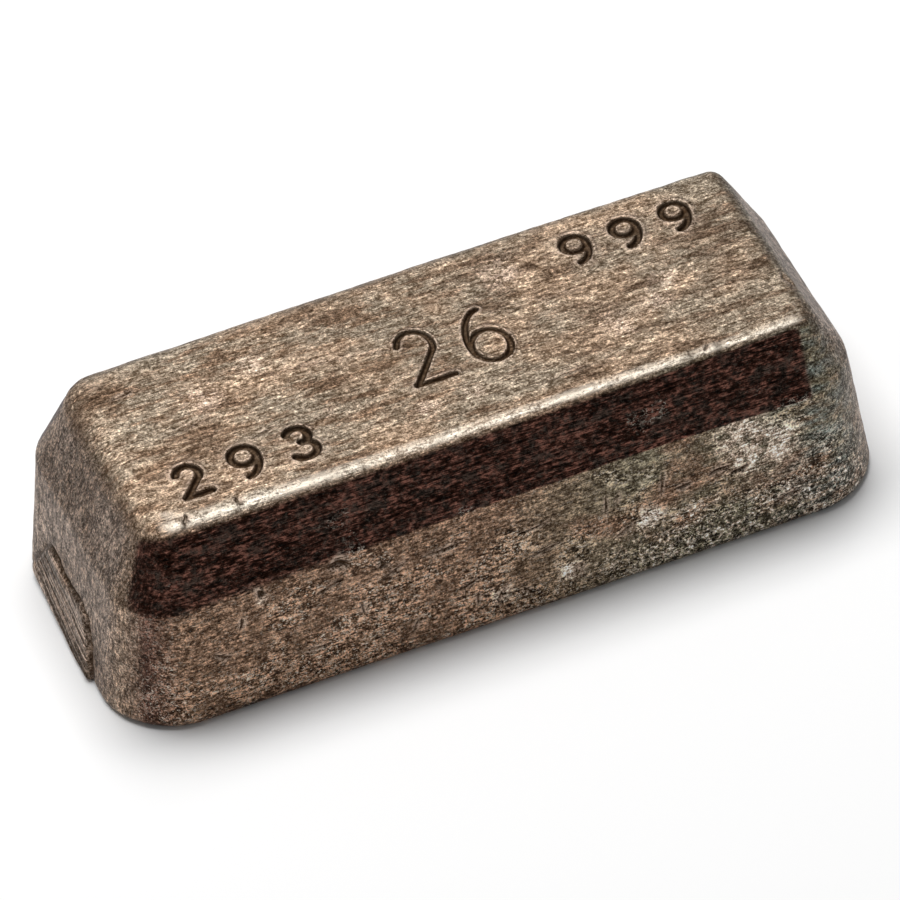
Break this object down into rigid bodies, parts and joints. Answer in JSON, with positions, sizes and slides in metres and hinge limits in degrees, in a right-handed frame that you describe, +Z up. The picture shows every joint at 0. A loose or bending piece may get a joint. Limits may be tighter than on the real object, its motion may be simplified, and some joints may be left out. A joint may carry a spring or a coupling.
{
  "type": "silver bar",
  "caption": "Small poured silver bar with two stages of draft, rounded ends, a trimmed casting tab and tarnished sides",
  "frame": {"origin": "middle of the base that the bar lies on", "axes": "+X along the bar, away from the end with the tab; +Y across the bar; +Z up out of the top face"},
  "size_m": [0.0669, 0.0268, 0.0182],
  "materials": {
    "silver": "poured silver, scuffed pale grey on top and on worn edges, dark brown and grey-green tarnish on the sides"
  },
  "bodies": {
    "root": {"bar": "silver"}
  },
  "joints": []
}
